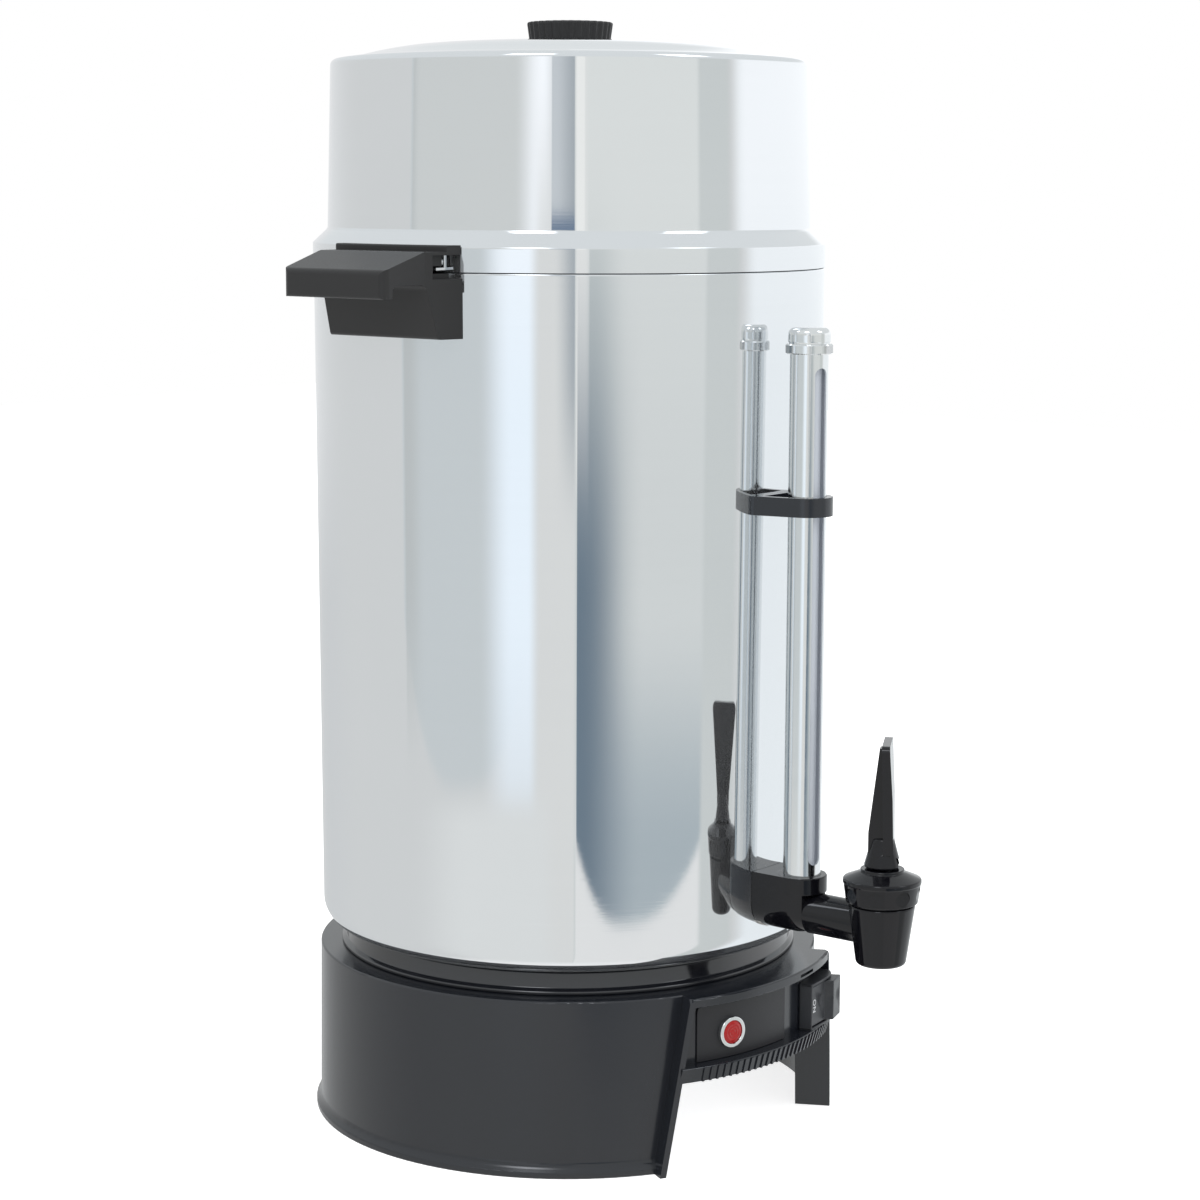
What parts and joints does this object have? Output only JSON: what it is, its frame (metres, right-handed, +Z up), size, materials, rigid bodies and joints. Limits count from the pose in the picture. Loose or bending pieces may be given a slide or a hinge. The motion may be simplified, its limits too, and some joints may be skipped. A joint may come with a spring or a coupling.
{
  "type": "coffee urn",
  "caption": "Tall polished aluminium coffee urn with domed lid, black side handles, upright sight gauge, lever faucet and a round black base with lamp and rocker switch.",
  "frame": {"origin": "on the floor plane at the axis of the vessel", "axes": "+Z up along the vessel's axis, the faucet looks toward -Y, the handles are at -X and +X"},
  "size_m": [0.3564, 0.3593, 0.5775],
  "materials": {
    "polished_shell": "polished with fine turning lines",
    "inner_aluminium": "satin",
    "steel": "zinc plated",
    "bright_trim": "bright",
    "handle_black": "fine satin",
    "base_black": "satin",
    "panel_black": "matte label film",
    "switch_black": "semi-gloss",
    "gloss_black": "gloss",
    "lamp_red": "clear gloss",
    "gauge_glass": "clear",
    "seal_rubber": "silicone",
    "heater": "heat darkened",
    "brass": "plain",
    "wire_jacket": "fibreglass sleeve"
  },
  "bodies": {
    "urn": {"vessel": "polished_shell", "vessel_studs": "steel", "vessel_nuts": "steel", "collar_ring": "gloss_black", "base_housing": "base_black", "bottom_plate": "steel", "plate_screws": "steel", "handle_right": "handle_black", "handle_left": "handle_black", "handle_screws": "steel", "handle_washers": "steel", "shank_block": "gloss_black", "shank_gasket_outer": "seal_rubber", "shank_gasket_inner": "seal_rubber", "shank_nut": "base_black", "gauge_shield": "bright_trim", "gauge_glass": "gauge_glass", "gauge_seals": "seal_rubber", "gauge_clip": "base_black", "clip_screw": "steel", "faucet_body": "gloss_black", "faucet_bonnet": "gloss_black", "faucet_spring": "steel", "control_panel": "panel_black", "lamp_bezel": "bright_trim", "lamp_lens": "lamp_red", "lamp_body": "base_black", "switch_housing": "base_black", "switch_terminals": "brass", "brew_heater": "heater", "warming_heater": "heater", "clamp_ring": "steel", "clamp_bar": "steel", "clamp_studs": "steel", "clamp_nuts": "steel", "heat_shield": "steel", "thermostat": "base_black", "thermal_fuse": "heater", "terminal_block": "panel_black", "wiring": "wire_jacket", "cord_gland": "base_black"},
    "rocker": {"switch_rocker": "switch_black"},
    "valve": {"seat_cup": "seal_rubber"},
    "stem": {"valve_stem": "base_black", "lever_pin": "steel"},
    "lever": {"faucet_lever": "gloss_black"},
    "gauge_cap": {"gauge_cap": "bright_trim"},
    "knob": {"lid_knob": "handle_black", "knob_screw": "steel", "knob_washer": "steel"},
    "lid": {"lid_shell": "polished_shell", "lid_lugs": "polished_shell", "lug_rivets": "polished_shell"},
    "basket_cover": {"basket_lid": "inner_aluminium"},
    "basket": {"basket": "inner_aluminium"},
    "pump": {"pump_tube": "inner_aluminium", "pump_bell": "inner_aluminium"}
  },
  "joints": [
    {"name": "switch_rock", "type": "hinge", "parent": "urn", "child": "rocker", "pos_m": [0.04477, -0.13381, 0.068], "axis": [0, 0, 1], "range_deg": [0, 16]},
    {"name": "valve_lift", "type": "slide", "parent": "urn", "child": "valve", "axis": [0, 0, 1], "range_m": [0, 0.0052], "deforming": ["faucet_spring"]},
    {"name": "lever_swivel", "type": "hinge", "parent": "valve", "child": "stem", "pos_m": [0, -0.2024, 0.165], "axis": [0, 0, 1], "range_deg": [-90, 30]},
    {"name": "lever_tilt", "type": "hinge", "parent": "stem", "child": "lever", "pos_m": [0, -0.2024, 0.165], "axis": [0.866, 0.5, 0], "range_deg": [0, 45], "stiffness_Nm_per_rad": 0.3},
    {"name": "gauge_cap_lift", "type": "slide", "parent": "urn", "child": "gauge_cap", "axis": [0, 0, 1], "range_m": [0, 0.03]},
    {"name": "lid_lift", "type": "slide", "parent": "urn", "child": "knob", "axis": [0, 0, 1], "range_m": [0, 0.3]},
    {"name": "lid_turn", "type": "hinge", "parent": "knob", "child": "lid", "pos_m": [0, 0, 0.568], "axis": [0, 0, 1], "range_deg": [0, 14]},
    {"name": "cover_lift", "type": "slide", "parent": "urn", "child": "basket_cover", "axis": [0, 0, 1], "range_m": [0, 0.26]},
    {"name": "basket_lift", "type": "slide", "parent": "urn", "child": "basket", "axis": [0, 0, 1], "range_m": [0, 0.2]},
    {"name": "pump_lift", "type": "slide", "parent": "urn", "child": "pump", "axis": [0, 0, 1], "range_m": [0, 0.19]}
  ],
  "couplings": [
    {"joint": "valve_lift", "follows": "lever_tilt", "m_per_rad": 0.0064},
    {"joint": "cover_lift", "follows": "lid_lift", "ratio": 0.8},
    {"joint": "basket_lift", "follows": "lid_lift", "ratio": 0.6},
    {"joint": "pump_lift", "follows": "lid_lift", "ratio": 0.58}
  ]
}
